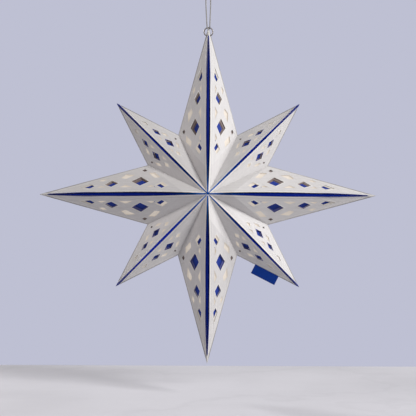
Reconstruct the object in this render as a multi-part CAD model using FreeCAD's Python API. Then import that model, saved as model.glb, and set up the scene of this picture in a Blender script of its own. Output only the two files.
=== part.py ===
"""Eight-pointed hanging star lantern, folded from die-cut card in three layers.

Frame: +Z up, the front faces -Y, the origin is the centre of the star. Lengths in mm.
An arm is drawn lying along +X: x runs out along its ridge from the centre of the star,
z runs across the arm and y through its depth. It is then turned about Y to its place.
"""
import FreeCAD, Part
import itertools
import math
import os

V = FreeCAD.Vector

# --- the star's outline and depth ---
LONG_REACH = 250.0      # centre to a long arm's tip
SHORT_REACH = 192.5     # centre to a short arm's tip
NOTCH_REACH = 99.5      # centre to the notch between two arms
NOTCH_ANGLE = 26.2      # degrees from a long arm's ridge to the notch beside it
HUB_HEIGHT = 46.0       # middle plane to the hub, front and back alike
CREST_REACH = 33.0      # centre to the crest of a long arm's ridge
CREST_HEIGHT = 50.0     # middle plane to that crest

# --- card ---
OUTER_CARD = 0.5        # thickness of the pearl card
LINER_CARD = 0.3        # thickness of the cream liner
CORE_CARD = 0.4         # thickness of the blue core
LINER_DROP = 3.0        # how far the liner's ridge lies under the outer ridge at the hub
CORE_DROP = 5.0         # the same for the core
TIP_STEP = 3.4          # each layer's tip stops at least this far short of the one around it
TIP_CLEARANCE = 0.05    # least gap between two layers' panels near a tip
GLUE_FLAP = 9.0         # width of the flaps that neighbouring arms share in a valley

# --- the open slit along each ridge, between two arcs that meet near the tip ---
LONG_SLIT = 6.8         # widest opening on a long arm
LONG_MOUTH = 1.6        # its opening at the hub
SHORT_SLIT = 4.1        # the same two on a short arm
SHORT_MOUTH = 1.2
LONG_TIP_LAND = 8.5     # uncut card at a long tip
HANGING_TIP_LAND = 14.0  # the same on the arm that holds the ring, which stays out of its slit
SHORT_TIP_LAND = 2.5    # uncut card at a short tip
LINER_SLIT_SHARE = 0.84  # the liner's slit over the outer one's, which leaves two pale lips
LINER_SLIT_END = 1.5    # the liner's slit stops this far before the liner does

# --- ring, cord and tag ---
ROUND_SIDES = 12        # flats of the wire's and the cord's section
RING_MEAN_RADIUS = 6.4
RING_WIRE = 1.8         # wire diameter
RING_CLEARANCE = 0.25   # between the wire and the holes it is threaded through
RING_DRILL = 5.0        # length of the drill that makes each hole
TIP_CUT = 4.5           # the hanging arm's tip is cut blunt by this much
CORD_DIAMETER = 1.8
CORD_SEAT = 0.2         # between the cord and the wire it hangs on
CORD_HANG = (RING_WIRE + CORD_DIAMETER) / 2 + CORD_SEAT  # from the cord's middle to the wire's
CORD_CROSSING = 1.1     # share of that distance by which each strand passes beside the wire
CORD_TIP_GAP = 0.3      # between the cord and the blunt tip under it
RING_LINER_GAP = 1.5    # between the ring and the ends of the inner layers
KNOT_DIAMETER = 6.4
KNOT_NECK = 4.6
KNOT_HEIGHT = 7.0
KNOT_WAIST = 3.4        # the straight part of the knot's side
KNOT_GAP = 0.2          # between the cord's ends and the knot that they run into
TAIL_LENGTH = 9.0
TAIL_SPLAY = 12.0       # degrees that each cord end leans outwards
TAG_LENGTH = 39.0
TAG_SHOWING = 14.0      # how far the folded tape stands out of the arm's edge
TAG_TUCK = 1.1          # how far it reaches in through the edge
TAG_THICKNESS = 0.9
TAG_FROM_NOTCH = 30.0
TAG_CLEARANCE = 0.1

# The hanging cord's route, from the middle of the ring's top wire: out of the knot, down in
# front of the ring to the left, round under the wire and up behind it to the right.
CORD_ROUTE = [
    (-1.0, -0.5, 75.5),
    (-4.8, -1.9, 49.5),
    (-2.0, -CORD_CROSSING * CORD_HANG, -CORD_HANG),
    (1.8, CORD_CROSSING * CORD_HANG, -CORD_HANG),
    (3.6, 1.9, 49.5),
    (1.0, 0.5, 75.5),
]

# --- the lattice, in shares of the arm: (reach / the arm's reach, width / the silhouette's
# half width at that reach). Each shape is cut on both sides of the ridge, front and back.
# A diamond runs hub corner, outer corner, tip corner, ridge corner.
LONG_DIAMONDS = {
    "hub": [(0.234, 0.241), (0.264, 0.350), (0.302, 0.281), (0.268, 0.176)],
    "large": [(0.344, 0.408), (0.392, 0.617), (0.448, 0.501), (0.396, 0.305)],
    "middle": [(0.526, 0.503), (0.566, 0.682), (0.609, 0.524), (0.567, 0.372)],
    "kite": [(0.667, 0.535), (0.696, 0.736), (0.756, 0.587), (0.698, 0.403)],
}
LONG_WINDOWS = [
    [(0.304, 0.219), (0.357, 0.237), (0.329, 0.286)],
    [(0.277, 0.506), (0.311, 0.512), (0.348, 0.720), (0.310, 0.687)],
    [(0.440, 0.264), (0.518, 0.307), (0.482, 0.390)],
    [(0.428, 0.743), (0.482, 0.644), (0.511, 0.727), (0.482, 0.842)],
    [(0.595, 0.362), (0.649, 0.417), (0.628, 0.488)],
    [(0.595, 0.790), (0.620, 0.870), (0.643, 0.811), (0.618, 0.738)],
    [(0.357, 0.809), (0.372, 0.879), (0.387, 0.847), (0.372, 0.786)],
]
SHORT_DIAMONDS = {
    "hub": [(0.356, 0.294), (0.379, 0.364), (0.403, 0.312), (0.379, 0.251)],
    "large": [(0.452, 0.413), (0.486, 0.545), (0.522, 0.440), (0.488, 0.311)],
    "middle": [(0.587, 0.478), (0.618, 0.596), (0.649, 0.490), (0.618, 0.375)],
    "small": [(0.699, 0.508), (0.725, 0.624), (0.756, 0.522), (0.727, 0.409)],
}
SHORT_WINDOWS = [
    [(0.405, 0.193), (0.457, 0.211), (0.431, 0.269)],
    [(0.400, 0.493), (0.429, 0.496), (0.460, 0.637), (0.429, 0.610)],
    [(0.532, 0.259), (0.584, 0.291), (0.561, 0.362)],
    [(0.527, 0.646), (0.558, 0.718), (0.592, 0.625), (0.561, 0.594)],
    [(0.469, 0.737), (0.479, 0.795), (0.490, 0.769), (0.479, 0.713)],
]

# The liner repeats these diamonds: (name, shift along the arm, shift across it, size share).
LONG_LINER_DIAMONDS = [
    ("hub", 3.2, -2.6, 1.00),
    ("large", -1.5, -3.2, 1.00),
    ("middle", -1.0, -1.7, 1.00),
    ("kite", -3.6, -0.6, 0.72),
]
SHORT_LINER_DIAMONDS = [
    ("large", -1.0, -1.6, 1.00),
    ("middle", -0.8, -1.0, 1.00),
]

LONG_ANGLES = {"right": 0, "top": 90, "left": 180, "bottom": 270}
SHORT_ANGLES = {"top_right": 45, "top_left": 135, "bottom_left": 225, "bottom_right": 315}
HANGING_ARM = "top"
TAGGED_ARM = "bottom_right"

# --- places that follow from the sizes above ---
TIP_END = LONG_REACH - TIP_CUT
RING_TOP = TIP_END + CORD_TIP_GAP + CORD_DIAMETER / 2 + CORD_HANG
RING_CENTRE = RING_TOP - RING_MEAN_RADIUS
INNER_LAYERS_END = RING_CENTRE - RING_MEAN_RADIUS - RING_WIRE / 2 - RING_LINER_GAP
DEEP = 2 * CREST_HEIGHT  # past both faces of the star


class Arm:
    """One kind of arm: its reach, its notch and the height of its ridge."""

    def __init__(self, reach, half_angle, crest_reach, crest_height, slit, mouth, tip_land):
        self.reach = reach
        self.half_angle = math.radians(half_angle)
        self.notch_x = NOTCH_REACH * math.cos(self.half_angle)
        self.notch_z = NOTCH_REACH * math.sin(self.half_angle)
        self.crest_reach = crest_reach
        self.crest_height = crest_height
        self.slit = slit
        self.mouth = mouth
        self.slit_end = reach - tip_land
        self.side_slope = self.ridge_height(self.notch_x, 0, reach) / self.notch_z
        ridge_run = (reach - crest_reach) / crest_height
        edge_run = (reach - self.notch_x) / self.notch_z
        self.tip_stretch = math.sqrt(1 + ridge_run ** 2 + edge_run ** 2)

    def ridge_height(self, x, drop, tip):
        """Height of the ridge line that runs from the crest, sunk by drop, to that tip."""
        return (self.crest_height - drop) * (tip - x) / (tip - self.crest_reach)

    def tip_step(self, card):
        """How far a layer's tip stops short of the one around it, which is of this card. It
        is more than TIP_STEP where the card is so thick or the arm so long that they'd meet."""
        return max(TIP_STEP, (card + TIP_CLEARANCE) * self.tip_stretch)

    def point(self, share_x, share_z):
        """A place on a panel from its shares of the reach and of the silhouette's width."""
        x = share_x * self.reach
        silhouette = self.notch_z * (self.reach - x) / (self.reach - self.notch_x)
        return x, share_z * silhouette


LONG_SIZES = (LONG_REACH, NOTCH_ANGLE, CREST_REACH, CREST_HEIGHT, LONG_SLIT, LONG_MOUTH)
SHORT_SIZES = (SHORT_REACH, 45 - NOTCH_ANGLE, 0.0, HUB_HEIGHT, SHORT_SLIT, SHORT_MOUTH)
LONG = Arm(*LONG_SIZES, LONG_TIP_LAND)
HANGING = Arm(*LONG_SIZES, HANGING_TIP_LAND)
SHORT = Arm(*SHORT_SIZES, SHORT_TIP_LAND)


def plane_through(a, b, c, inside):
    """The plane through three points as (outward unit normal, distance from the origin)."""
    normal = (b - a).cross(c - a).normalize()
    if normal.dot(inside - a) > 0:
        normal = normal * -1
    return normal, normal.dot(a)


def convex_solid(planes):
    """The solid behind all of these planes."""
    corners = []
    for (n1, d1), (n2, d2), (n3, d3) in itertools.combinations(planes, 3):
        mixed = n1.dot(n2.cross(n3))
        if abs(mixed) < 1e-7:
            continue
        corner = (n2.cross(n3) * d1 + n3.cross(n1) * d2 + n1.cross(n2) * d3) / mixed
        held = all(n.dot(corner) <= d + 1e-6 for n, d in planes)
        if held and all((corner - other).Length > 1e-5 for other in corners):
            corners.append(corner)
    faces = []
    for normal, distance in planes:
        ring = [c for c in corners if abs(normal.dot(c) - distance) < 2e-6]
        if len(ring) < 3:
            continue
        middle = sum(ring, V()) / len(ring)
        first = (ring[0] - middle).normalize()
        second = normal.cross(first)
        ring.sort(key=lambda c: math.atan2((c - middle).dot(second), (c - middle).dot(first)))
        faces.append(Part.Face(Part.makePolygon(ring + [ring[0]])))
    return Part.Solid(Part.makeShell(faces))


def arm_planes(arm, drop, tip, wall_inset):
    """Panels, hub facets and valley walls of an arm whose ridge is sunk by drop."""
    inside = V(arm.notch_x, 0, 0)
    fold_z = arm.ridge_height(arm.notch_x, drop, tip) / arm.side_slope
    planes = []
    for side in (-1, 1):
        hub = V(0, -HUB_HEIGHT, 0)
        notch = V(arm.notch_x, 0, side * arm.notch_z)
        normal, distance = plane_through(hub, V(0, HUB_HEIGHT, 0), notch, inside)
        planes.append((normal, distance - wall_inset))
        for face in (-1, 1):
            crest = V(arm.crest_reach, face * (arm.crest_height - drop), 0)
            fold = V(arm.notch_x, 0, side * fold_z)
            planes.append(plane_through(crest, fold, V(tip, 0, 0), inside))
            if arm.crest_reach > 0:
                sunk_hub = V(0, face * (HUB_HEIGHT - drop), 0)
                planes.append(plane_through(sunk_hub, crest, fold, inside))
    return planes


def prism(points):
    """A cutter through the whole depth, from points (x, z) in order."""
    corners = [V(x, -DEEP, z) for x, z in points]
    return Part.Face(Part.makePolygon(corners + [corners[0]])).extrude(V(0, 2 * DEEP, 0))


def slit_cutter(arm, end, share):
    """A cutter along the ridge between two arcs, from the mouth at the hub to a point at
    end, as wide as this share of the arm's slit."""
    point = V(end, -DEEP, 0)
    corners, edges = [], []
    for side in (-1, 1):
        corner = V(0, -DEEP, side * share * arm.mouth / 2)
        widest = V(end / 2, -DEEP, side * share * arm.slit / 2)
        edges.append(Part.Arc(corner, widest, point).toShape())
        corners.append(corner)
    edges.append(Part.LineSegment(*corners).toShape())
    return Part.Face(Part.Wire(edges)).extrude(V(0, 2 * DEEP, 0))


def both_sides(outlines):
    """Cutters for outlines on one side of the ridge and their mirror images."""
    return [prism([(x, side * z) for x, z in outline]) for outline in outlines for side in (-1, 1)]


def moved_outline(outline, along, across, size):
    """An outline scaled about its middle and shifted."""
    middle_x = sum(x for x, _ in outline) / len(outline)
    middle_z = sum(z for _, z in outline) / len(outline)
    return [
        (middle_x + along + (x - middle_x) * size, middle_z + across + (z - middle_z) * size)
        for x, z in outline
    ]


def valley_opening(arm):
    """Opens both valley walls to the star's inside and leaves the glue flaps."""
    valley = math.hypot(NOTCH_REACH, HUB_HEIGHT)
    height = HUB_HEIGHT - GLUE_FLAP * valley / NOTCH_REACH
    reach = (NOTCH_REACH - GLUE_FLAP * valley / HUB_HEIGHT) * math.cos(arm.half_angle)
    behind = -OUTER_CARD
    rise = height * (reach - behind) / reach
    corners = [V(behind, -rise, -DEEP), V(reach, 0, -DEEP), V(behind, rise, -DEEP)]
    return Part.Face(Part.makePolygon(corners + [corners[0]])).extrude(V(0, 0, 2 * DEEP))


def folded_card(arm, drop, tip, wall_inset, card, end, cutters):
    """One folded card: the skin of an arm, cut off square at end, opened at its valleys
    and by these cutters."""
    planes = arm_planes(arm, drop, tip, wall_inset)
    outside = convex_solid(planes + [(V(1, 0, 0), end)])
    inside = convex_solid([(normal, distance - card) for normal, distance in planes])
    return single(outside.cut(inside).cut([valley_opening(arm)] + cutters))


def single(shape):
    """The one solid of a finished cut."""
    if len(shape.Solids) != 1:
        raise ValueError(f"{len(shape.Solids)} solids where one was expected")
    return shape.Solids[0]


def outer_card(arm, diamonds, windows, more_cutters, end):
    outlines = list(diamonds.values()) + windows
    cutters = both_sides([[arm.point(*p) for p in outline] for outline in outlines])
    cutters.append(slit_cutter(arm, arm.slit_end, 1))
    return folded_card(arm, 0, arm.reach, 0, OUTER_CARD, end, cutters + more_cutters)


def liner(arm, diamonds, repeats, end):
    outlines = []
    for name, along, across, size in repeats:
        outline = [arm.point(*p) for p in diamonds[name]]
        outlines.append(moved_outline(outline, along, across, size))
    tip = arm.reach - arm.tip_step(OUTER_CARD)
    slit_end = min(arm.slit_end, end, tip) - LINER_SLIT_END
    cutters = both_sides(outlines)
    cutters.append(slit_cutter(arm, slit_end, LINER_SLIT_SHARE))
    return folded_card(arm, LINER_DROP, tip, OUTER_CARD, LINER_CARD, end, cutters)


def core(arm, end):
    tip = arm.reach - arm.tip_step(OUTER_CARD) - arm.tip_step(LINER_CARD)
    return folded_card(arm, CORE_DROP, tip, OUTER_CARD + LINER_CARD, CORE_CARD, end, [])


def tag_frame():
    """The tagged arm's lower edge: where the tag's middle sits on it, along it and out of it."""
    notch = V(SHORT.notch_x, 0, -SHORT.notch_z)
    along = (V(SHORT.reach, 0, 0) - notch).normalize()
    out = along.cross(V(0, -1, 0))
    return notch + along * (TAG_FROM_NOTCH + TAG_LENGTH / 2), along, out


def tape(length, inner, outer, thickness):
    """A flat piece of tape lying in the tagged arm's edge, from inner to outer across it."""
    middle, along, out = tag_frame()
    start = middle - along * (length / 2) + V(0, -thickness / 2, 0)
    corners = [start + out * inner, start + out * outer]
    corners += [corners[1] + along * length, corners[0] + along * length]
    return Part.Face(Part.makePolygon(corners + [corners[0]])).extrude(V(0, thickness, 0))


def side_tag():
    """Woven tape folded double, with its fold outwards as a half round edge."""
    middle, along, out = tag_frame()
    flat_end = TAG_SHOWING - TAG_THICKNESS / 2
    body = tape(TAG_LENGTH, -TAG_TUCK, flat_end, TAG_THICKNESS)
    foot = middle - along * (TAG_LENGTH / 2) + out * flat_end
    fold = Part.makeCylinder(TAG_THICKNESS / 2, TAG_LENGTH, foot, along)
    return single(body.fuse(fold).removeSplitter())


def tag_slot():
    return tape(
        TAG_LENGTH + 2 * TAG_CLEARANCE,
        -TAG_TUCK - TAG_CLEARANCE,
        OUTER_CARD,
        TAG_THICKNESS + 2 * TAG_CLEARANCE,
    )


def round_section(centre, along, radius):
    """The outline of a round wire or cord across along. It has ROUND_SIDES flats that touch
    the circle, because a circle this small would take half of the whole part's facets."""
    side = along.cross(V(0, 1, 0)).normalize()
    other = along.cross(side).normalize()
    corner = radius / math.cos(math.pi / ROUND_SIDES)
    corners = []
    for k in range(ROUND_SIDES):
        turn = math.tau * (k + 0.5) / ROUND_SIDES
        spoke = side * math.cos(turn) + other * math.sin(turn)
        corners.append(centre + spoke * corner)
    return Part.makePolygon(corners + [corners[0]])


def ring():
    """The hanging ring on an arm that lies along +X."""
    wire = V(RING_CENTRE + RING_MEAN_RADIUS, 0, 0)
    section = Part.Face(round_section(wire, V(0, 0, 1), RING_WIRE / 2))
    return single(section.revolve(V(RING_CENTRE, 0, 0), V(0, 1, 0), 360))


def ring_holes(arm):
    """Drills for the two holes that the ring is threaded through, one in each edge fold."""
    edge = math.atan2(arm.notch_z, arm.reach - arm.notch_x)
    beyond = (arm.reach - RING_CENTRE) / RING_MEAN_RADIUS
    turn = edge + math.asin(beyond * math.sin(edge))
    radius = RING_WIRE / 2 + RING_CLEARANCE
    drills = []
    for side in (-1, 1):
        out = V(-math.cos(turn), 0, side * math.sin(turn))
        along = out.cross(V(0, 1, 0))
        start = V(RING_CENTRE, 0, 0) + out * RING_MEAN_RADIUS - along * (RING_DRILL / 2)
        drills.append(Part.makeCylinder(radius, RING_DRILL, start, along))
    return drills


def route_wire(points):
    """Straight runs joined by arcs as large as the runs allow, and the arcs' radii."""
    edges, radii = [], []
    last = points[0]
    for before, corner, after in zip(points, points[1:], points[2:]):
        back, on = before - corner, after - corner
        half_turn = (math.pi - back.getAngle(on)) / 2
        step = 0.45 * min(back.Length, on.Length)
        radii.append(step / math.tan(half_turn))
        back.normalize()
        on.normalize()
        start, end = corner + back * step, corner + on * step
        to_middle = (back + on).normalize()
        centre = corner + to_middle * math.hypot(radii[-1], step)
        middle = centre - to_middle * radii[-1]
        edges.append(Part.LineSegment(last, start).toShape())
        edges.append(Part.Arc(start, middle, end).toShape())
        last = end
    edges.append(Part.LineSegment(last, points[-1]).toShape())
    return Part.Wire(edges), radii


def hanging_cord():
    points = [V(x, y, z + RING_TOP) for x, y, z in CORD_ROUTE]
    path, radii = route_wire(points)
    section = round_section(points[0], points[1] - points[0], CORD_DIAMETER / 2)
    tube = path.makePipeShell([section], True, False)
    expected = Part.Face(section).Area * path.Length
    print("cord radii", [round(r, 2) for r in radii], "length", round(path.Length, 2))
    print("cord volume over section times length", round(tube.Volume / expected, 4))
    return single(tube)


def cord_knot():
    """The knot that closes the loop, with the cord's two cut ends standing out of it."""
    foot = RING_TOP + CORD_ROUTE[0][2] + KNOT_GAP
    top = foot + KNOT_HEIGHT
    cone = (KNOT_HEIGHT - KNOT_WAIST) / 2
    neck, belly = KNOT_NECK / 2, KNOT_DIAMETER / 2
    corners = [V(0, 0, foot), V(neck, 0, foot), V(belly, 0, foot + cone)]
    corners += [V(belly, 0, top - cone), V(neck, 0, top), V(0, 0, top)]
    outline = Part.makePolygon(corners + [corners[0]])
    body = Part.Face(outline).revolve(V(), V(0, 0, 1), 360)
    tails = []
    for side in (-1, 1):
        lean = math.radians(TAIL_SPLAY)
        along = V(side * math.sin(lean), 0, math.cos(lean))
        root = V(side * CORD_DIAMETER / 2, 0, top - CORD_DIAMETER)
        section = Part.Face(round_section(root, along, CORD_DIAMETER / 2))
        tails.append(section.extrude(along * TAIL_LENGTH))
    return single(body.fuse(tails))


def turned(shape, degrees):
    """The shape turned about Y from lying along +X to its place round the star."""
    copy = shape.copy()
    copy.rotate(V(), V(0, -1, 0), degrees)
    return copy


def export(shape, node):
    if not shape.isValid():
        raise ValueError(f"{node} isn't a valid solid")
    shape.exportStep(f"parts/{node}.step")


def long_layers(arm, more_cutters, outer_end, inner_end):
    """The outer card, the liner and the core of a long arm."""
    return {
        "arm": outer_card(arm, LONG_DIAMONDS, LONG_WINDOWS, more_cutters, outer_end),
        "liner": liner(arm, LONG_DIAMONDS, LONG_LINER_DIAMONDS, inner_end),
        "core": core(arm, inner_end),
    }


def short_layers(more_cutters):
    """The same of a short arm."""
    return {
        "arm": outer_card(SHORT, SHORT_DIAMONDS, SHORT_WINDOWS, more_cutters, SHORT_REACH),
        "liner": liner(SHORT, SHORT_DIAMONDS, SHORT_LINER_DIAMONDS, SHORT_REACH),
        "core": core(SHORT, SHORT_REACH),
    }


def main():
    os.makedirs("parts", exist_ok=True)
    sets = dict.fromkeys(LONG_ANGLES, long_layers(LONG, [], LONG_REACH, LONG_REACH))
    sets.update(dict.fromkeys(SHORT_ANGLES, short_layers([])))
    sets[HANGING_ARM] = long_layers(HANGING, ring_holes(LONG), TIP_END, INNER_LAYERS_END)
    sets[TAGGED_ARM] = short_layers([tag_slot()])
    for name, degrees in {**LONG_ANGLES, **SHORT_ANGLES}.items():
        for layer, shape in sets[name].items():
            export(turned(shape, degrees), f"{layer}_{name}")
    export(turned(ring(), LONG_ANGLES[HANGING_ARM]), "hanging_ring")
    export(turned(side_tag(), SHORT_ANGLES[TAGGED_ARM]), "side_tag")
    export(hanging_cord(), "hanging_cord")
    export(cord_knot(), "cord_knot")


if __name__ == "__main__":
    main()
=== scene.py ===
"""Looks of an eight-pointed hanging star lantern, folded from die-cut card in three layers.

Frame: metres, +Z up, the front faces -Y, the origin is the centre of the star.
Inside the materials lengths are millimetres, measured along an arm's ridge and across it.
"""

import math
from typing import NamedTuple

import bmesh
import bpy
from bpy.props import FloatProperty, FloatVectorProperty, PointerProperty
from mathutils import Matrix, Vector


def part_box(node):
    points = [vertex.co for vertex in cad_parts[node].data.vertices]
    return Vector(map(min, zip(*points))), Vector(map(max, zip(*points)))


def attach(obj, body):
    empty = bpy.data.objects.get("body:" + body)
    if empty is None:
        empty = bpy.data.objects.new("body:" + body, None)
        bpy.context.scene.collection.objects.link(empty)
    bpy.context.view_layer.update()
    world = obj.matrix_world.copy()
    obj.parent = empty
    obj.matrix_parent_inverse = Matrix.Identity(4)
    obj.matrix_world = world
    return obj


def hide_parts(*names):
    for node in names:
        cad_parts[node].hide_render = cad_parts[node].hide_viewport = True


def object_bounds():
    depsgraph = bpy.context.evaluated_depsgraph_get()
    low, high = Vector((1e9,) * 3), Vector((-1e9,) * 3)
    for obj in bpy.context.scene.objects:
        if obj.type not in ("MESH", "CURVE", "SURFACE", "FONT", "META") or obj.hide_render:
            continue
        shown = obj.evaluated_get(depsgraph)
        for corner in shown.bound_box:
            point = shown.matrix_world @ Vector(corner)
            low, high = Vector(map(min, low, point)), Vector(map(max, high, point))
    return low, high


bl_info = {
    "name": "Paper Star Lantern",
    "version": (1, 0, 0),
    "blender": (4, 5, 0),
    "location": "View3D > Sidebar > Star Lantern",
    "description": "Finishes the card, ring, cord and tag of a hanging paper star lantern",
    "category": "Add Mesh",
}

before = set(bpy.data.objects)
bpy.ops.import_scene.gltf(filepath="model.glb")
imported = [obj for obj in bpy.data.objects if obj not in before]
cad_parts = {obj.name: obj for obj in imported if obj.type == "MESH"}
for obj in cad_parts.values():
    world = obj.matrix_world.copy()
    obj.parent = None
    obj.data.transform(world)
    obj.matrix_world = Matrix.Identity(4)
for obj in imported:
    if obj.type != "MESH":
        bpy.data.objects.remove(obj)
CAD_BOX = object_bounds()

# The ring stands in the hanging arm's tip, with the cord over its top wire.
RING_LOW, RING_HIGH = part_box("hanging_ring")
RING_CENTRE = (RING_LOW + RING_HIGH) / 2
KNOT_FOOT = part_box("cord_knot")[0].z

# The cord's route: out of the knot, down in front of the ring to the left, round under its
# top wire and up behind it to the right.
CORD_ROUTE = (
    (-0.0010, -0.0005, 0.3242),
    (-0.0048, -0.0019, 0.2982),
    (-0.0026, -0.0024, 0.2575),
    (-0.0020, -0.0024, 0.2466),
    (0.0018, 0.0024, 0.2466),
    (0.0022, 0.0024, 0.2575),
    (0.0036, 0.0019, 0.2982),
    (0.0010, 0.0005, 0.3242),
)

# The knot's winding: its mean radius, its rise in one turn and its points in one turn.
KNOT_RADIUS = 0.0023
KNOT_PITCH = 0.00175
KNOT_STEPS = 12

# A tail's route out of the knot: how far to the side, and how far above the last turn.
KNOT_TAIL = ((0.0009, -0.0035), (0.0009, -0.0005), (0.0016, 0.0035), (0.0028, 0.0068))

# The notch between two arms: its distance from the centre in mm, and its angle from the long
# arm's ridge.
NOTCH_REACH = 99.5
NOTCH_ANGLE = math.radians(26.2)

FLOOR_HALF_WIDTH = 1.6
FLOOR_BACK_EDGE = 0.376             # behind the lantern's middle
FLOOR_BELOW = 0.05                  # under the lowest tip

LAMP_SIZE = 1.0
LAMP_TINT = (1.0, 0.99, 0.98)
LEFT_TINT = (1.0, 0.94, 0.92)
FILL_TINT = (1.0, 0.95, 0.93)

CAMERA_PLACE = (0.0006, -1.498, -0.0653)
CAMERA_LENS = 87.4                  # mm, on a sensor 36 mm wide
CAMERA_SHIFT = 0.06
CAMERA_RISE = math.radians(0.35)    # how far it looks up from level
CAMERA_ROLL = math.radians(0.25)

BLACK = (0.0, 0.0, 0.0, 1.0)
YARN_FUZZ = (0.75, 0.74, 0.72, 1.0)    # the loose fibres on the cord
TAPE_SLUB = (0.01, 0.10, 0.60, 1.0)    # the thicker threads in the tag


class ArmKind(NamedTuple):
    """The arms of one kind and their sizes in mm, along the ridge from the star's centre and
    across from the ridge."""

    arms: tuple
    short: bool
    reach: float
    notch_angle: float
    press: float      # the pressed line's distance from the ridge
    slit: tuple       # its end, half its mouth at the hub and half its greatest width
    diamonds: tuple   # of each: along, across, half length, half width and lean
    corner: tuple     # the liner's shade under the small window beside the notch, as a diamond

    @property
    def notch(self):
        """The notch beside the arm: (along, across)."""
        angle = self.notch_angle
        return NOTCH_REACH * math.cos(angle), NOTCH_REACH * math.sin(angle)


LONG = ArmKind(
    arms=("top", "right", "bottom", "left"),
    short=False,
    reach=250.0,
    notch_angle=NOTCH_ANGLE,
    press=9.1,
    slit=(241.5, 0.8, 3.4),
    diamonds=(
        (67.0, 13.1, 8.5, 4.4, 0.05),
        (99.0, 18.9, 13.0, 6.5, 0.02),
        (141.8, 15.4, 10.4, 4.6, -0.11),
        (177.0, 11.4, 11.1, 3.5, -0.11),
    ),
    corner=(93.0, 35.5, 6.0, 5.5, 0.0),
)
SHORT = ArmKind(
    arms=("top_right", "bottom_right", "bottom_left", "top_left"),
    short=True,
    reach=192.5,
    notch_angle=math.radians(45) - NOTCH_ANGLE,
    press=6.4,
    slit=(190.0, 0.6, 2.05),
    diamonds=(
        (73.1, 11.9, 4.5, 2.2, -0.02),
        (93.7, 13.8, 6.7, 3.8, -0.08),
        (119.0, 11.6, 6.0, 2.7, -0.13),
        (140.0, 8.8, 5.5, 1.9, -0.15),
    ),
    corner=(92.3, 24.5, 6.0, 5.0, 0.0),
)


class LanternCardProps(bpy.types.PropertyGroup):
    pearl: FloatVectorProperty(
        name="Pearl Card",
        description="Colour of the outer card",
        subtype="COLOR",
        size=3,
        min=0,
        max=1,
        default=(0.80, 0.778, 0.772),
    )
    # Painted highlight: this pale colour is laid on the cut edges and, as highlights, on the
    # pressed rims, the border and the strip along the slit.
    pale_highlight: FloatVectorProperty(
        name="Cut Edges",
        description="Colour of the card's cut edges and pressed rims",
        subtype="COLOR",
        size=3,
        min=0,
        max=1,
        default=(0.93, 0.91, 0.87),
    )
    cream: FloatVectorProperty(
        name="Cream Liner",
        description="Colour of the liner that shows in the small windows",
        subtype="COLOR",
        size=3,
        min=0,
        max=1,
        default=(0.60, 0.545, 0.48),
    )
    # Painted shade: the brown laid deep in the large diamonds on the liner and the core, and
    # under the small windows by the notches.
    shade_brown: FloatVectorProperty(
        name="Liner Shade",
        description="Colour of the liner deep in the large diamonds",
        subtype="COLOR",
        size=3,
        min=0,
        max=1,
        default=(0.30, 0.235, 0.22),
    )
    blue: FloatVectorProperty(
        name="Blue Core",
        description="Colour of the core",
        subtype="COLOR",
        size=3,
        min=0,
        max=1,
        default=(0.0012, 0.014, 0.22),
    )
    # Painted light: the light blue the core and liner turn where the arms meet; the core also
    # glows in it there.
    hub_light_blue: FloatVectorProperty(
        name="Azure Near the Hub",
        description="Colour of the core where the arms meet",
        subtype="COLOR",
        size=3,
        min=0,
        max=1,
        default=(0.008, 0.15, 0.55),
    )
    # Painted light: the lit blue laid where daylight falls into the large diamonds, on the core
    # and in the liner's lower half.
    daylit_slate: FloatVectorProperty(
        name="Open Core",
        description="Colour of the core and liner where daylight falls into the large diamonds",
        subtype="COLOR",
        size=3,
        min=0,
        max=1,
        default=(0.030, 0.060, 0.34),
    )
    # Painted shade: the colour that darkens the card's outer folds and its tips.
    edge_shade: FloatVectorProperty(
        name="Worn Edge",
        description="Colour of the outer folds and tips, where the pearl has rubbed off",
        subtype="COLOR",
        size=3,
        min=0,
        max=1,
        default=(0.20, 0.19, 0.175),
    )
    fibre: FloatProperty(
        name="Fibre Tone",
        description="How strongly the paper's fibres vary the card's tone",
        subtype="FACTOR",
        min=0,
        max=1,
        default=0.10,
    )


class LanternHangingProps(bpy.types.PropertyGroup):
    wire: FloatProperty(
        name="Ring Wire",
        description="Diameter of the ring's wire",
        subtype="DISTANCE",
        unit="LENGTH",
        min=0.0005,
        max=0.003,
        default=0.0018,
    )
    cord: FloatProperty(
        name="Cord",
        description="Diameter of the hanging cord",
        subtype="DISTANCE",
        unit="LENGTH",
        min=0.0005,
        max=0.004,
        default=0.0018,
    )
    knot_turns: FloatProperty(
        name="Knot Turns",
        description="How many times the cord is wound round itself in the knot",
        min=1,
        max=5,
        default=3.0,
    )
    metal: FloatVectorProperty(
        name="Ring Metal",
        description="Colour of the ring's plating",
        subtype="COLOR",
        size=3,
        min=0,
        max=1,
        default=(0.25, 0.225, 0.20),
    )
    yarn: FloatVectorProperty(
        name="Cord Yarn",
        description="Colour of the cord",
        subtype="COLOR",
        size=3,
        min=0,
        max=1,
        default=(0.40, 0.385, 0.37),
    )


class LanternTagProps(bpy.types.PropertyGroup):
    tape: FloatVectorProperty(
        name="Woven Tape",
        description="Colour of the tag's tape",
        subtype="COLOR",
        size=3,
        min=0,
        max=1,
        default=(0.003, 0.09, 0.68),
    )
    thread: FloatProperty(
        name="Thread",
        description="Distance between threads of the tape",
        subtype="DISTANCE",
        unit="LENGTH",
        min=0.0001,
        max=0.001,
        default=0.00042,
    )


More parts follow.
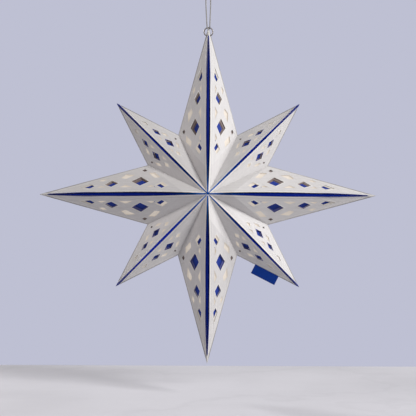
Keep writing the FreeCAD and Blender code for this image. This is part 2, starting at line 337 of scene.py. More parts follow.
class LanternStageProps(bpy.types.PropertyGroup):
    floor: FloatVectorProperty(
        name="Floor",
        description="Colour of the floor",
        subtype="COLOR",
        size=3,
        min=0,
        max=1,
        default=(0.79, 0.785, 0.84),
    )
    bounce: FloatProperty(
        name="Bounce",
        description="Share of the floor's colour that lights the lantern from below",
        subtype="FACTOR",
        min=0,
        max=1,
        default=0.65,
    )
    backdrop: FloatVectorProperty(
        name="Backdrop",
        description="Colour behind the lantern",
        subtype="COLOR",
        size=3,
        min=0,
        max=1,
        default=(0.515, 0.527, 0.650),
    )
    key: FloatProperty(
        name="Key Lamp",
        description="Power of the soft lamp in front, at the upper right",
        subtype="POWER",
        unit="POWER",
        min=0,
        max=200,
        default=58.0,
    )
    side: FloatProperty(
        name="Side Lamp",
        description="Power of the soft lamp at the right side",
        subtype="POWER",
        unit="POWER",
        min=0,
        max=200,
        default=29.5,
    )
    left: FloatProperty(
        name="Left Lamp",
        description="Power of the soft lamp at the left side",
        subtype="POWER",
        unit="POWER",
        min=0,
        max=200,
        default=18.0,
    )
    back: FloatProperty(
        name="Back Lamp",
        description="Power of the soft lamp behind, at the upper left",
        subtype="POWER",
        unit="POWER",
        min=0,
        max=200,
        default=48.0,
    )
    fill: FloatProperty(
        name="Soft Fill",
        description="Strength of the even light from all round",
        min=0,
        max=2,
        default=0.035,
    )


class Nodes:
    """Adds nodes to one material or node group and joins them up."""

    def __init__(self, tree):
        self.tree = tree
        tree.nodes.clear()

    def feed(self, socket, value):
        if isinstance(value, bpy.types.NodeSocket):
            self.tree.links.new(value, socket)
        else:
            socket.default_value = value

    def add(self, kind, values=None, **settings):
        node = self.tree.nodes.new(kind)
        for name, setting in settings.items():
            setattr(node, name, setting)
        for key, value in (values or {}).items():
            self.feed(node.inputs[key], value)
        return node

    def group(self, name, values):
        node = self.tree.nodes.new("ShaderNodeGroup")
        node.node_tree = bpy.data.node_groups[name]
        for key, value in values.items():
            self.feed(node.inputs[key], value)
        return node

    def math(self, operation, *values):
        node = self.add("ShaderNodeMath", operation=operation)
        for socket, value in zip(node.inputs, values):
            self.feed(socket, value)
        return node.outputs[0]

    def times(self, first, *others):
        """The product of all of these."""
        for value in others:
            first = self.math("MULTIPLY", first, value)
        return first

    def most(self, first, *others):
        """The largest of these."""
        for value in others:
            first = self.math("MAXIMUM", first, value)
        return first

    def rise(self, value, start, end):
        """0 below start and 1 above end, smooth between; start may be the larger."""
        low, high = min(start, end), max(start, end)
        ends = {"To Min": float(start > end), "To Max": float(start < end)}
        node = self.add(
            "ShaderNodeMapRange",
            {"Value": value, "From Min": low, "From Max": high, **ends},
            interpolation_type="SMOOTHSTEP",
        )
        return node.outputs["Result"]

    def line(self, distance, width):
        """1 where the distance is 0 and 0 past width on either side."""
        return self.rise(self.math("ABSOLUTE", distance), width, 0.0)

    def blend(self, factor, first, second):
        node = self.add("ShaderNodeMix", data_type="RGBA")
        self.feed(node.inputs[0], factor)
        self.feed(node.inputs[6], first)
        self.feed(node.inputs[7], second)
        return node.outputs[2]

    def paint(self, base, *layers):
        """The base colour with each layer, a mask and its colour, laid over it in turn."""
        for mask, paint in layers:
            base = self.blend(mask, base, paint)
        return base

    def split(self, vector):
        """A vector's X, Y and Z outputs."""
        return self.add("ShaderNodeSeparateXYZ", {0: vector}).outputs

    def noise(self, vector, scale, detail=3.0, roughness=0.55):
        values = {"Vector": vector, "Scale": scale, "Detail": detail, "Roughness": roughness}
        return self.add("ShaderNodeTexNoise", values).outputs["Fac"]


def colour(value, share=1.0):
    """A colour as a socket takes it, made darker or lighter by share."""
    return (*(min(channel * share, 1.0) for channel in value[:3]), 1.0)


def new_group(name, inputs, outputs):
    """An empty node group with these sockets: (nodes, its input node, its output node)."""
    tree = bpy.data.node_groups.new(name, "ShaderNodeTree")
    for socket, kind in inputs:
        tree.interface.new_socket(socket, in_out="INPUT", socket_type="NodeSocket" + kind)
    for socket, kind in outputs:
        tree.interface.new_socket(socket, in_out="OUTPUT", socket_type="NodeSocket" + kind)
    nodes = Nodes(tree)
    return nodes, nodes.add("NodeGroupInput").outputs, nodes.add("NodeGroupOutput").inputs


def arm_place_group():
    """Where a point lies on its arm: along the ridge, across from it, and in depth, in mm."""
    n, given, result = new_group(
        "Arm Place",
        [("Position", "Vector"), ("Short Arm", "Float")],
        [("Along", "Float"), ("Across", "Float"), ("Depth", "Float")],
    )
    mm = n.add("ShaderNodeVectorMath", {0: given["Position"], "Scale": 1000.0}, operation="SCALE")
    parts = n.split(mm.outputs[0])
    x, z = n.math("ABSOLUTE", parts["X"]), n.math("ABSOLUTE", parts["Z"])
    apart = n.math("ABSOLUTE", n.math("SUBTRACT", x, z))
    pairs = (
        (n.math("MAXIMUM", x, z), n.math("ADD", x, z), "Along"),
        (n.math("MINIMUM", x, z), apart, "Across"),
    )
    for long_value, short_value, name in pairs:
        turned = n.times(short_value, math.sqrt(0.5))
        values = {0: given["Short Arm"], 2: long_value, 3: turned}
        n.feed(result[name], n.add("ShaderNodeMix", values, data_type="FLOAT").outputs[0])
    n.feed(result["Depth"], n.math("ABSOLUTE", parts["Y"]))


def slit_group():
    """How far a point lies outside the slit between two arcs, in mm."""
    n, given, result = new_group(
        "Slit Edge",
        [("Along", "Float"), ("Across", "Float"), ("End", "Float"),
         ("Half Mouth", "Float"), ("Half Width", "Float")],
        [("Beyond", "Float")],
    )
    share = n.math("MINIMUM", n.math("DIVIDE", given["Along"], given["End"]), 1.0)
    mouth, width = given["Half Mouth"], given["Half Width"]
    swell = n.math("SUBTRACT", n.times(width, 4.0), n.times(mouth, 2.0))
    bow = n.math("ADD", mouth, n.times(share, swell))
    edge = n.times(n.math("SUBTRACT", 1.0, share), bow)
    n.feed(result["Beyond"], n.math("SUBTRACT", given["Across"], edge))


def diamond_group():
    """How far a point lies outside a leaning diamond, in mm, and negative inside it."""
    n, given, result = new_group(
        "Diamond Edge",
        [("Along", "Float"), ("Across", "Float"), ("Reach", "Float"), ("Off Ridge", "Float"),
         ("Half Length", "Float"), ("Half Width", "Float"), ("Lean", "Float")],
        [("Beyond", "Float")],
    )
    along = n.math("SUBTRACT", given["Along"], given["Reach"])
    across = n.math("SUBTRACT", given["Across"], given["Off Ridge"])
    across = n.math("SUBTRACT", across, n.times(along, given["Lean"]))
    length, width = given["Half Length"], given["Half Width"]
    share = n.math(
        "ADD",
        n.math("DIVIDE", n.math("ABSOLUTE", along), length),
        n.math("DIVIDE", n.math("ABSOLUTE", across), width),
    )
    side = n.math("SQRT", n.math("ADD", n.times(length, length), n.times(width, width)))
    scale = n.math("DIVIDE", n.times(length, width), side)
    n.feed(result["Beyond"], n.times(n.math("SUBTRACT", share, 1.0), scale))


def fibre_group():
    """Paper fibres: a tone about 0.5 and a height, from streaks along the arm and fine grain."""
    n, given, result = new_group(
        "Paper Fibre",
        [("Position", "Vector"), ("Along", "Float"), ("Across", "Float"), ("Depth", "Float")],
        [("Tone", "Float"), ("Height", "Float")],
    )
    lying = n.add(
        "ShaderNodeCombineXYZ",
        {"X": n.times(given["Along"], 0.12), "Y": given["Across"], "Z": given["Depth"]},
    ).outputs[0]
    streaks = n.noise(lying, 0.55, detail=5.0, roughness=0.62)
    clouds = n.noise(given["Position"], 28.0, detail=3.0)
    grain = n.noise(given["Position"], 1500.0, detail=2.0)
    tone = n.math("ADD", n.times(streaks, 0.55), n.times(clouds, 0.3))
    n.feed(result["Tone"], n.math("ADD", tone, n.times(grain, 0.15)))
    n.feed(result["Height"], n.math("ADD", n.times(streaks, 0.7), n.times(grain, 0.3)))


def cord_group():
    """Strands laid round a cord: a height, and a tone that paints shade in the grooves between
    strands, from the cord's own UV map.
    """
    n, given, result = new_group(
        "Laid Strands",
        [("UV", "Vector"), ("Turns", "Float"), ("Strands", "Float")],
        [("Height", "Float"), ("Tone", "Float")],
    )
    parts = n.split(given["UV"])
    turn = n.times(parts["X"], given["Turns"])
    phase = n.times(n.math("ADD", turn, parts["Y"]), given["Strands"])
    strand = n.math("ABSOLUTE", n.math("SINE", n.times(phase, math.pi)))
    ply = n.math("SINE", n.times(phase, math.pi * 8))
    n.feed(result["Height"], n.math("ADD", n.math("SQRT", strand), n.times(ply, 0.06)))
    n.feed(result["Tone"], n.rise(strand, 0.0, 0.75))


def weave_group():
    """Ribbed tape: a height, and a tone that paints shade where the threads lie low, from the
    tape's own UV map, in thread widths.
    """
    n, given, result = new_group(
        "Ribbed Weave",
        [("UV", "Vector"), ("Threads Along", "Float"), ("Threads Across", "Float")],
        [("Height", "Float"), ("Tone", "Float")],
    )
    parts = n.split(given["UV"])
    u = n.times(parts["X"], given["Threads Along"])
    v = n.times(parts["Y"], given["Threads Across"])
    row = n.math("MODULO", n.math("FLOOR", v), 2.0)
    over = n.math("SINE", n.times(n.math("ADD", u, row), math.pi))
    rib = n.math("ABSOLUTE", n.math("SINE", n.times(v, math.pi)))
    height = n.times(rib, n.math("ADD", 0.7, n.times(over, 0.3)))
    n.feed(result["Height"], height)
    n.feed(result["Tone"], n.rise(height, 0.0, 0.9))


def new_material(name, values=None):
    """A material with a Principled surface that has these values: (material, nodes, surface)."""
    material = bpy.data.materials.new(name)
    material.use_nodes = True
    nodes = Nodes(material.node_tree)
    surface = nodes.add("ShaderNodeBsdfPrincipled", values)
    nodes.add("ShaderNodeOutputMaterial", {"Surface": surface.outputs[0]})
    return material, nodes, surface


def bump(nodes, surface, height, distance):
    values = {"Height": height, "Distance": distance, "Strength": 1.0}
    nodes.feed(surface.inputs["Normal"], nodes.add("ShaderNodeBump", values).outputs[0])


def seen(nodes):
    """1 on rays from the camera and in reflections, and 0 on the rays that light things."""
    rays = nodes.add("ShaderNodeLightPath").outputs
    return nodes.most(rays["Is Camera Ray"], rays["Is Glossy Ray"])


def placed(nodes, kind):
    """The object coordinates, the place on the arm and the paper's fibres."""
    position = nodes.add("ShaderNodeTexCoord").outputs["Object"]
    values = {"Position": position, "Short Arm": float(kind.short)}
    place = nodes.group("Arm Place", values).outputs
    values = {name: place[name] for name in ("Along", "Across", "Depth")}
    paper = nodes.group("Paper Fibre", {"Position": position, **values}).outputs
    return position, place, paper


def beyond_slit(nodes, place, slit):
    end, half_mouth, half_width = slit
    values = {"Along": place["Along"], "Across": place["Across"], "End": end}
    values.update({"Half Mouth": half_mouth, "Half Width": half_width})
    return nodes.group("Slit Edge", values).outputs["Beyond"]


def beyond_diamond(nodes, place, diamond, grow=1.0, stretch=1.0, shift=(0.0, 0.0)):
    """How far a point lies outside the diamond, grown all round, stretched in length and
    shifted along and across."""
    along, across, half_length, half_width, lean = diamond
    values = {"Along": place["Along"], "Across": place["Across"], "Lean": lean}
    values.update({"Reach": along + shift[0], "Off Ridge": across + shift[1]})
    values.update({"Half Length": half_length * grow * stretch, "Half Width": half_width * grow})
    return nodes.group("Diamond Edge", values).outputs["Beyond"]


def painted_seam(n, place, slit, kind):
    """Painted dark blue that widens a slit's outer part and carries it on towards the tip,
    standing in for the slit and the shade in it.
    """
    along, across = place["Along"], place["Across"]
    if kind.short:
        run = n.times(n.rise(along, 120, 150), n.rise(along, kind.reach, kind.reach - 2))
        return n.times(n.rise(across, 1.9, 1.3), run)
    run = n.times(n.rise(along, 140, 180), n.rise(along, kind.reach - 11, kind.reach - 15))
    return n.times(n.rise(slit, 1.1, 0.5), n.rise(across, 4.0, 3.0), run)


def painted_points(n, place, kind):
    """Painted shade in the core's blue that lengthens the points of the two largest diamonds."""
    masks = []
    for diamond in kind.diamonds[1:3]:
        away = beyond_diamond(n, place, diamond, grow=1.05, stretch=1.3)
        masks.append(n.rise(away, 0.2, -0.2))
    return n.most(*masks)


def pearl_card(name, kind):
    """The outer card: satin pearl with pressed rims, a border along its edges and pale cuts.
    Painted highlights lighten the rims, the border and the strip along the slit; painted shade
    darkens the lines beside the slit, the valley, the outer folds and the tips. Painted dark
    blue carries on the slits and the short arms' largest diamonds, standing in for their
    openings and the shade in them."""
    card = bpy.context.scene.lantern_card
    finish = {"Sheen Weight": 0.15, "Sheen Roughness": 0.5, "Specular IOR Level": 0.35}
    material, n, surface = new_material(name, finish)
    _, place, paper = placed(n, kind)
    along, across = place["Along"], place["Across"]
    slit = beyond_slit(n, place, kind.slit)
    notch_along, notch_across = kind.notch

    # Pressed in the card: rims round the diamonds and lines beside the edges.
    # Painted highlights make the rims, the border and the strip along the slit lighter, and
    # painted shade makes the line beside the slit and the pressed line darker.
    away = [beyond_diamond(n, place, diamond) for diamond in kind.diamonds]
    rims = n.most(*(n.rise(distance, 1.3, 0.5) for distance in away))
    slope = notch_across / (kind.reach - notch_along)
    silhouette = n.times(n.math("SUBTRACT", kind.reach, along), slope)
    inside_edge = n.times(n.math("SUBTRACT", silhouette, across), math.cos(math.atan(slope)))
    border = n.line(n.math("SUBTRACT", inside_edge, 2.4), 0.9)
    hem_highlight = n.rise(slit, 2.3, 1.6)
    crease_shade = n.line(n.math("SUBTRACT", slit, 2.6), 0.5)
    press = n.line(n.math("SUBTRACT", across, kind.press), 0.6)

    # Painted shade: the outer folds darker, more towards the tip, and the tip itself darker
    # still.
    near_tip = n.rise(along, 0.45 * kind.reach, 0.95 * kind.reach)
    rubbed = n.math("ADD", 0.42, n.times(near_tip, 0.4))
    tip_shade = n.times(n.rise(along, kind.reach - 22, kind.reach - 2), 0.6)
    worn = n.most(n.times(n.rise(inside_edge, 1.5, 0.5), rubbed), tip_shade)

    # A cut edge faces neither the front nor the back and is painted pale; the valley is the fold
    # to the next arm, and painted shade darkens the card beside it.
    normal = n.add("ShaderNodeNewGeometry").outputs["Normal"]
    cut = n.rise(n.math("ABSOLUTE", n.split(normal)["Y"]), 0.10, 0.02)
    valley = n.math("SUBTRACT", n.times(along, notch_across / notch_along), across)
    folded = n.rise(valley, 5.0, 0.0)
    # Painted dark blue on the slits' outer parts, and painted shade lengthening the short arms'
    # diamond points.
    dark = painted_seam(n, place, slit, kind)
    if kind.short:
        dark = n.most(dark, painted_points(n, place, kind))

    tone = n.rise(paper["Tone"], 0.30, 0.70)
    base = n.paint(
        n.blend(tone, colour(card.pearl, 1 - card.fibre), colour(card.pearl)),
        (n.times(border, 0.35), colour(card.pale_highlight)),
        (n.times(crease_shade, 0.25), colour(card.pearl, 0.6)),
        (n.times(press, 0.15), colour(card.pearl, 0.7)),
        (n.times(folded, 0.12), colour(card.pearl, 0.45)),
        (worn, colour(card.edge_shade)),
        (n.times(hem_highlight, 0.55), colour(card.pale_highlight)),
        (n.times(rims, 0.50), colour(card.pale_highlight)),
        (cut, colour(card.pale_highlight)),
        (dark, colour(card.blue)),
    )
    n.feed(surface.inputs["Base Color"], base)
    rough = n.math("ADD", 0.36, n.times(paper["Tone"], 0.22))
    n.feed(surface.inputs["Roughness"], rough)

    height = n.times(paper["Height"], 0.10)
    lifts = ((rims, 0.25), (hem_highlight, 0.25), (border, 0.15), (crease_shade, -0.15), (press, -0.12))
    for mask, lift in lifts:
        height = n.math("ADD", height, n.times(mask, lift))
    bump(n, surface, height, 0.001)
    return material


def cream_liner(name, kind):
    """The liner: warm translucent paper, painted to glow, with painted shade deep in the large
    diamonds and under the small window beside the notch."""
    card = bpy.context.scene.lantern_card
    material, n, surface = new_material(name, {"Roughness": 0.7, "Emission Strength": 0.36})
    position, place, paper = placed(n, kind)

    # Painted shade: the liner darkens deep in the two largest diamonds and under the small window
    # by the notch.
    shades = []
    for diamond, depth in zip(kind.diamonds[1:3], (1.0, 0.8)):
        away = beyond_diamond(n, place, diamond, grow=1.15, shift=(0.0, 0.8))
        shades.append(n.times(n.rise(away, 0.6, -0.6), depth))
    shade = n.most(*shades)
    corner = n.rise(beyond_diamond(n, place, kind.corner), 0.5, -0.5)
    outermost = n.rise(beyond_diamond(n, place, kind.diamonds[3], grow=1.2), 0.8, -0.2)
    lip = n.rise(beyond_slit(n, place, kind.slit), 1.4, 0.8)
    # Painted light: the liner turns light blue at the hub.
    hub = n.rise(place["Along"], 9.0, 5.0)

    # Painted shade deep in the diamonds: brown in the star's upper half, and the painted daylight
    # blue in the lower half.
    lower = n.rise(n.split(position)["Z"], 0.006, -0.006)
    deep = n.blend(n.times(lower, 0.8), colour(card.shade_brown), colour(card.daylit_slate))
    tone = n.rise(paper["Tone"], 0.30, 0.70)
    base = n.paint(
        n.blend(tone, colour(card.cream, 0.86), colour(card.cream)),
        (n.times(outermost, 0.6), colour(card.pearl)),
        (shade, deep),
        (corner, colour(card.shade_brown)),
        (lip, colour(card.pearl)),
        (hub, colour(card.hub_light_blue)),
    )
    dark = n.most(shade, lip, hub, n.times(outermost, 0.8), corner)
    if kind.short:
        tip = n.rise(place["Along"], 182.0, 184.0)
        base = n.blend(tip, base, colour(card.blue))
        dark = n.most(dark, tip)
    n.feed(surface.inputs["Base Color"], base)
    # Painted glow: the cream gives off light wherever the liner keeps its own cream colour.
    n.feed(surface.inputs["Emission Color"], n.blend(dark, colour(card.cream, 1.5), BLACK))
    bump(n, surface, paper["Height"], 0.0002)
    return material


def brown_shade(n, position, place, kind):
    """Painted shade in the outer part of the two largest diamonds, in the star's upper half."""
    upper = n.rise(n.split(position)["Z"], -0.006, 0.006)
    masks = []
    for diamond, inwards in zip(kind.diamonds[1:3], (4.9, 3.0)):
        opening = n.rise(beyond_diamond(n, place, diamond, grow=1.4), 0.5, -0.5)
        lit = beyond_diamond(n, place, diamond, shift=(-2.5, -inwards))
        masks.append(n.times(opening, n.rise(lit, -0.3, 0.3), upper))
    return n.most(*masks)


def blue_core(name, kind):
    """The core: deep satin blue, with painted light: brighter on one side of its ridge, light
    blue and glowing where the arms meet, and lit blue in the diamonds; on the long arms with
    painted brown shade in the upper ones."""
    card = bpy.context.scene.lantern_card
    finish = {"Specular IOR Level": 0.06, "Emission Strength": 0.35}
    material, n, surface = new_material(name, finish)
    position, place, paper = placed(n, kind)
    slit = beyond_slit(n, place, kind.slit)
    # Painted light: the core turns light blue towards the hub, and glows there.
    hub_light_mask = n.rise(place["Along"], 85.0 if kind.short else 62.0, 4.0)
    hub = n.rise(place["Along"], 30.0, 2.0)
    # Painted light: lit blue in the diamonds, away from the slit.
    daylit_diamonds = n.rise(slit, 1.5, 4.0)
    # Painted light: inside the slit, the side of the ridge that faces down and to the left is
    # brighter.
    facing = n.split(n.add("ShaderNodeNewGeometry").outputs["Normal"])
    facing = n.math("ADD", facing["X"], facing["Z"])
    painted_lit_side = n.times(n.rise(facing, 0.15, -0.15), n.rise(slit, 0.0, -1.0))

    # Painted light: the short arms' core is a brighter copy of the blue, lifting the shade in
    # their deep slits.
    blue = colour(card.blue, 1.7 if kind.short else 1.0)
    lit_side_blue = colour([channel * 1.7 + 0.004 for channel in blue[:3]])
    tone = n.rise(paper["Tone"], 0.30, 0.70)
    base = n.paint(
        n.blend(tone, colour(blue, 0.70), blue),
        (painted_lit_side, lit_side_blue),
        (hub_light_mask, colour(card.hub_light_blue)),
        (daylit_diamonds, colour(card.daylit_slate)),
    )
    if not kind.short:
        base = n.blend(brown_shade(n, position, place, kind), base, colour(card.shade_brown))
    n.feed(surface.inputs["Base Color"], base)
    # Painted glow at the hub, in the light blue.
    n.feed(surface.inputs["Emission Color"], n.blend(hub, BLACK, colour(card.hub_light_blue)))
    n.feed(surface.inputs["Roughness"], n.math("ADD", 0.40, n.times(paper["Tone"], 0.2)))
    bump(n, surface, paper["Height"], 0.0002)
    return material


def assign(node, material):
    """Gives a CAD node its material."""
    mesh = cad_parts[node].data
    mesh.materials.clear()
    mesh.materials.append(material)


class LANTERN_OT_effects(bpy.types.Operator):
    """Builds the shader node groups that the lantern's materials share"""

    bl_idname = "lantern.effects"
    bl_label = "Shared Effects"

    def execute(self, context):
        arm_place_group()
        slit_group()
        diamond_group()
        fibre_group()
        cord_group()
        weave_group()
        return {"FINISHED"}


class LANTERN_OT_card(bpy.types.Operator):
    """Finishes the outer cards, the liners and the cores of all eight arms"""

    bl_idname = "lantern.card"
    bl_label = "Folded Card"

    def execute(self, context):
        for kind, size in ((LONG, "long"), (SHORT, "short")):
            layers = (
                ("arm", pearl_card(f"pearl_card_{size}", kind)),
                ("liner", cream_liner(f"cream_liner_{size}", kind)),
                ("core", blue_core(f"blue_core_{size}", kind)),
            )
            for arm in kind.arms:
                for layer, material in layers:
                    assign(f"{layer}_{arm}", material)
        return {"FINISHED"}


def new_object(name, data):
    """An object at the origin that shows this mesh, curve, lamp or camera."""
    item = bpy.data.objects.new(name, data)
    bpy.context.scene.collection.objects.link(item)
    return item


def to_object(name, mesh_bm, material):
    """A finished piece at the origin from a bmesh, with smooth faces and outward normals."""
    bmesh.ops.remove_doubles(mesh_bm, verts=mesh_bm.verts, dist=1e-6)
    bmesh.ops.recalc_face_normals(mesh_bm, faces=mesh_bm.faces)
    mesh = bpy.data.meshes.new(name)
    mesh_bm.to_mesh(mesh)
    mesh_bm.free()
    mesh.shade_smooth()
    mesh.materials.append(material)
    return new_object(name, mesh)


def plated_wire():
    """The ring's plating, duller where it is worn, with fine scratches."""
    metal = bpy.context.scene.lantern_hanging.metal
    material, n, surface = new_material("plated_wire", {"Metallic": 1.0})
    position = n.add("ShaderNodeTexCoord").outputs["Object"]
    worn = n.rise(n.noise(position, 700.0, detail=4.0), 0.45, 0.70)
    scratches = n.noise(position, 3200.0, detail=2.0)
    n.feed(surface.inputs["Base Color"], n.blend(worn, colour(metal), colour(metal, 0.72)))
    n.feed(surface.inputs["Roughness"], n.math("ADD", 0.32, n.times(worn, 0.18)))
    bump(n, surface, scratches, 0.00001)
    return material


class LANTERN_OT_ring(bpy.types.Operator):
    """Bends the round wire ring that the lantern hangs from"""

    bl_idname = "lantern.ring"
    bl_label = "Hanging Ring"

    def execute(self, context):
        wire = context.scene.lantern_hanging.wire
        mean = (RING_HIGH.x - RING_LOW.x - wire) / 2
        bm = bmesh.new()
        place = Matrix.Translation(RING_CENTRE + Vector((mean, 0, 0)))
        circle = bmesh.ops.create_circle(bm, segments=20, radius=wire / 2)
        bmesh.ops.transform(bm, verts=circle["verts"], matrix=place)
        bmesh.ops.spin(
            bm,
            geom=bm.verts[:] + bm.edges[:],
            cent=RING_CENTRE,
            axis=(0, 1, 0),
            angle=math.tau,
            steps=96,
            use_merge=True,
        )
        ring = to_object("hanging_ring_wire", bm, plated_wire())
        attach(ring, "root")
        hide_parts("hanging_ring")
        return {"FINISHED"}


def laid_yarn(name, turns):
    """Twisted yarn; turns is how often its strands go round on this length."""
    yarn = bpy.context.scene.lantern_hanging.yarn
    material, n, surface = new_material(name, {"Roughness": 0.65, "Sheen Weight": 0.3})
    coordinates = n.add("ShaderNodeTexCoord").outputs
    values = {"UV": coordinates["UV"], "Turns": turns, "Strands": 3.0}
    strands = n.group("Laid Strands", values).outputs
    fuzz = n.rise(n.noise(coordinates["Object"], 2600.0, detail=3.0), 0.5, 0.75)
    # Painted shade: the yarn darker in the grooves between its strands.
    base = n.blend(strands["Tone"], colour(yarn, 0.45), colour(yarn))
    n.feed(surface.inputs["Base Color"], n.blend(n.times(fuzz, 0.4), base, YARN_FUZZ))
    bump(n, surface, strands["Height"], 0.00025)
    return material


def cord_curve(name, points, diameter, material):
    """A round cord along one open NURBS spline."""
    data = bpy.data.curves.new(name, "CURVE")
    data.dimensions = "3D"
    spline = data.splines.new("NURBS")
    spline.points.add(len(points) - 1)
    for point, place in zip(spline.points, points):
        point.co = (*place, 1.0)
    spline.order_u = 3
    spline.use_endpoint_u = True
    spline.resolution_u = 12
    data.bevel_depth = diameter / 2
    data.bevel_resolution = 4
    data.use_fill_caps = True
    data.materials.append(material)
    cord = new_object(name, data)
    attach(cord, "root")
    return cord


class LANTERN_OT_cord(bpy.types.Operator):
    """Hangs the cord through the ring and closes it with a wound knot"""

    bl_idname = "lantern.cord"
    bl_label = "Hanging Cord"

    def execute(self, context):
        hanging = context.scene.lantern_hanging
        diameter = hanging.cord
        cord = cord_curve("hanging_cord_loop", CORD_ROUTE, diameter, laid_yarn("loop_yarn", 26.0))
        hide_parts("hanging_cord")

        start = KNOT_FOOT + diameter / 2
        winding = []
        for k in range(int(hanging.knot_turns * KNOT_STEPS) + 1):
            turn = math.tau * k / KNOT_STEPS
            rise = start + KNOT_PITCH * k / KNOT_STEPS
            winding.append((KNOT_RADIUS * math.cos(turn), KNOT_RADIUS * math.sin(turn), rise))
        wraps = cord_curve("knot_wraps", winding, diameter, laid_yarn("knot_yarn", 7.0))
        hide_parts("cord_knot")

        top = winding[-1][2] + diameter / 2
        for side, name in ((-1, "left"), (1, "right")):
            route = [(side * aside, 0.0, top + above) for aside, above in KNOT_TAIL]
            yarn = laid_yarn(f"tail_yarn_{name}", 1.7)
            cord_curve(f"knot_tail_{name}", route, diameter, yarn)
        return {"FINISHED"}


def woven_tape(threads_along, threads_across):
    """Ribbed woven tape with slubs, this many threads long and wide."""
    tape = bpy.context.scene.lantern_tag.tape
    finish = {"Roughness": 0.62, "Specular IOR Level": 0.15}
    finish.update({"Sheen Weight": 0.05, "Sheen Roughness": 0.4})
    material, n, surface = new_material("woven_tape", finish)
    coordinates = n.add("ShaderNodeTexCoord").outputs
    values = {"UV": coordinates["UV"], "Threads Along": threads_along}
    weave = n.group("Ribbed Weave", {**values, "Threads Across": threads_across}).outputs
    slubs = n.rise(n.noise(coordinates["Object"], 900.0, detail=3.0), 0.5, 0.8)
    # Painted shade: the tape darker where its threads lie low.
    base = n.blend(weave["Tone"], colour(tape, 0.35), colour(tape))
    n.feed(surface.inputs["Base Color"], n.blend(n.times(slubs, 0.3), base, TAPE_SLUB))
    bump(n, surface, weave["Height"], 0.00015)
    return material


class LANTERN_OT_tag(bpy.types.Operator):
    """Folds the woven tag that stands out of the lower right arm's edge"""

    bl_idname = "lantern.tag"
    bl_label = "Side Tag"

    def execute(self, context):
        tag = context.scene.lantern_tag
        length = 0.039        # along the arm's edge
        showing = 0.014       # out of the arm's edge
        tuck = 0.0010         # caught inside the card
        half_gap = 0.00024    # from the tag's middle plane to the middle of each layer
        thickness = 0.00036
        outer_face = 0.0002   # half the thickness, rounded up
        from_notch = 0.030    # along the edge to the tag's near side
        pucker_height, pucker_waves = 0.00010, 17.0

        # The lower edge of the lower right arm, from its notch to its tip.
        angle = NOTCH_ANGLE - math.radians(90)
        notch = Vector((math.cos(angle), 0, math.sin(angle))) * NOTCH_REACH / 1000
        tip = Vector((1, 0, -1)) * math.sqrt(0.5) * SHORT.reach / 1000
        along = (tip - notch).normalized()
        out = Vector((along.z, 0, -along.x))
        foot = notch + along * (from_notch + length / 2)

        bm = bmesh.new()
        bmesh.ops.create_grid(bm, x_segments=40, y_segments=48, size=0.5, calc_uvs=True)
        bend = math.pi * half_gap / 2
        flat = showing + tuck - half_gap - outer_face
        for vertex in bm.verts:
            u, v = vertex.co.x, vertex.co.y * 2 * (flat + bend)
            side = 1 if v > 0 else -1
            turn = min(abs(v) / half_gap, math.pi / 2) * side
            run = max(abs(v) - bend, 0.0)
            pucker = pucker_height * math.sin(u * pucker_waves)
            pucker *= (run / flat) * (1 - run / flat) * 4
            place = foot + along * (u * length)
            place += out * (flat - tuck - run + half_gap * math.cos(turn))
            vertex.co = place + Vector((0, half_gap * math.sin(turn) + pucker, 0))
        tape = woven_tape(length / tag.thread, 2 * flat / tag.thread)
        piece = to_object("side_tag_tape", bm, tape)
        solid = piece.modifiers.new("Tape Thickness", "SOLIDIFY")
        solid.thickness = thickness
        solid.offset = 0.0
        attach(piece, "root")
        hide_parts("side_tag")
        return {"FINISHED"}


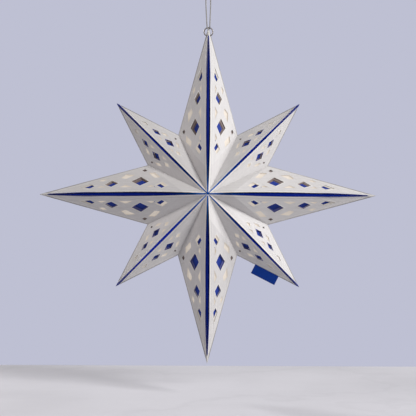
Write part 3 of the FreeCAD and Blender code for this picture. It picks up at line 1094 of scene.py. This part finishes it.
class LANTERN_OT_stage(bpy.types.Operator):
    """Lays the floor, sets the backdrop and the lamps, and places the camera"""

    bl_idname = "lantern.stage"
    bl_label = "Stage"

    def execute(self, context):
        scene = context.scene
        stage = scene.lantern_stage

        finish = {"Roughness": 0.75, "Specular IOR Level": 0.1}
        material, n, surface = new_material("pale_floor", finish)
        position = n.add("ShaderNodeTexCoord").outputs["Object"]
        clouds = n.rise(n.noise(position, 5.0, detail=5.0), 0.3, 0.7)
        veins = n.line(n.math("SUBTRACT", n.noise(position, 2.2, detail=6.0), 0.5), 0.02)
        base = n.blend(clouds, colour(stage.floor, 0.93), colour(stage.floor))
        base = n.blend(n.times(veins, 0.12), base, colour(stage.floor, 0.7))
        base = n.blend(seen(n), colour(stage.floor, stage.bounce), base)
        n.feed(surface.inputs["Base Color"], base)
        bm = bmesh.new()
        bmesh.ops.create_grid(bm, x_segments=8, y_segments=8, size=FLOOR_HALF_WIDTH)
        middle = (0, FLOOR_BACK_EDGE - FLOOR_HALF_WIDTH, CAD_BOX[0].z - FLOOR_BELOW)
        bmesh.ops.translate(bm, verts=bm.verts, vec=middle)
        floor = to_object("floor", bm, material)

        world = bpy.data.worlds.new("studio")
        scene.world = world
        world.use_nodes = True
        n = Nodes(world.node_tree)
        values = {"Color": colour(FILL_TINT), "Strength": stage.fill}
        light = n.add("ShaderNodeBackground", values).outputs[0]
        values = {"Color": colour(stage.backdrop), "Strength": 1.0}
        behind = n.add("ShaderNodeBackground", values).outputs[0]
        both = n.add("ShaderNodeMixShader", {0: seen(n), 1: light, 2: behind}).outputs[0]
        n.add("ShaderNodeOutputWorld", {"Surface": both})

        # Each lamp aims at the star's centre.
        lamps = (
            ("key_lamp", (1.83, -1.83, 1.50), stage.key, LAMP_TINT),
            ("side_lamp", (2.88, -0.26, 0.78), stage.side, LAMP_TINT),
            ("left_lamp", (-2.66, -0.96, 1.02), stage.left, LEFT_TINT),
            ("back_lamp", (-1.88, 1.88, 1.50), stage.back, LAMP_TINT),
        )
        for name, place, power, tint in lamps:
            lamp = bpy.data.lights.new(name, "AREA")
            lamp.shape = "DISK"
            lamp.size = LAMP_SIZE
            lamp.energy = power
            lamp.color = tint
            aim = (-Vector(place)).to_track_quat("-Z", "Y").to_matrix().to_4x4()
            new_object(name, lamp).matrix_world = Matrix.Translation(place) @ aim

        camera = bpy.data.cameras.new("camera")
        camera.sensor_width = 36.0
        camera.lens = CAMERA_LENS
        camera.shift_y = CAMERA_SHIFT
        level = Matrix.Rotation(math.pi / 2 + CAMERA_RISE, 4, "X")
        turned = level @ Matrix.Rotation(CAMERA_ROLL, 4, "Z")
        holder = new_object("camera", camera)
        holder.matrix_world = Matrix.Translation(CAMERA_PLACE) @ turned
        scene.camera = holder
        scene.view_settings.view_transform = "Standard"
        return {"FINISHED"}


OPERATORS = (
    LANTERN_OT_effects,
    LANTERN_OT_stage,
    LANTERN_OT_cord,
    LANTERN_OT_ring,
    LANTERN_OT_card,
    LANTERN_OT_tag,
)


class LANTERN_PT_sidebar(bpy.types.Panel):
    """Sizes and colours of the lantern, and a button for each step"""

    bl_idname = "LANTERN_PT_sidebar"
    bl_label = "Paper Star Lantern"
    bl_space_type = "VIEW_3D"
    bl_region_type = "UI"
    bl_category = "Star Lantern"

    def draw(self, context):
        scene = context.scene
        for name in ("lantern_card", "lantern_hanging", "lantern_tag", "lantern_stage"):
            box = self.layout.box()
            group = getattr(scene, name)
            for key in group.bl_rna.properties.keys():
                if key not in ("rna_type", "name"):
                    box.prop(group, key)
        for operator in OPERATORS:
            self.layout.operator(operator.bl_idname)


GROUPS = (
    ("lantern_card", LanternCardProps),
    ("lantern_hanging", LanternHangingProps),
    ("lantern_tag", LanternTagProps),
    ("lantern_stage", LanternStageProps),
)


def register():
    for _, group in GROUPS:
        bpy.utils.register_class(group)
    for operator in OPERATORS:
        bpy.utils.register_class(operator)
    bpy.utils.register_class(LANTERN_PT_sidebar)
    for name, group in GROUPS:
        setattr(bpy.types.Scene, name, PointerProperty(type=group))


def unregister():
    for name, _ in reversed(GROUPS):
        delattr(bpy.types.Scene, name)
    bpy.utils.unregister_class(LANTERN_PT_sidebar)
    for operator in reversed(OPERATORS):
        bpy.utils.unregister_class(operator)
    for _, group in reversed(GROUPS):
        bpy.utils.unregister_class(group)


def main():
    register()
    bpy.ops.lantern.effects()
    bpy.ops.lantern.stage()
    bpy.ops.lantern.cord()
    bpy.ops.lantern.ring()
    bpy.ops.lantern.card()
    bpy.ops.lantern.tag()


if __name__ == "__main__":
    main()
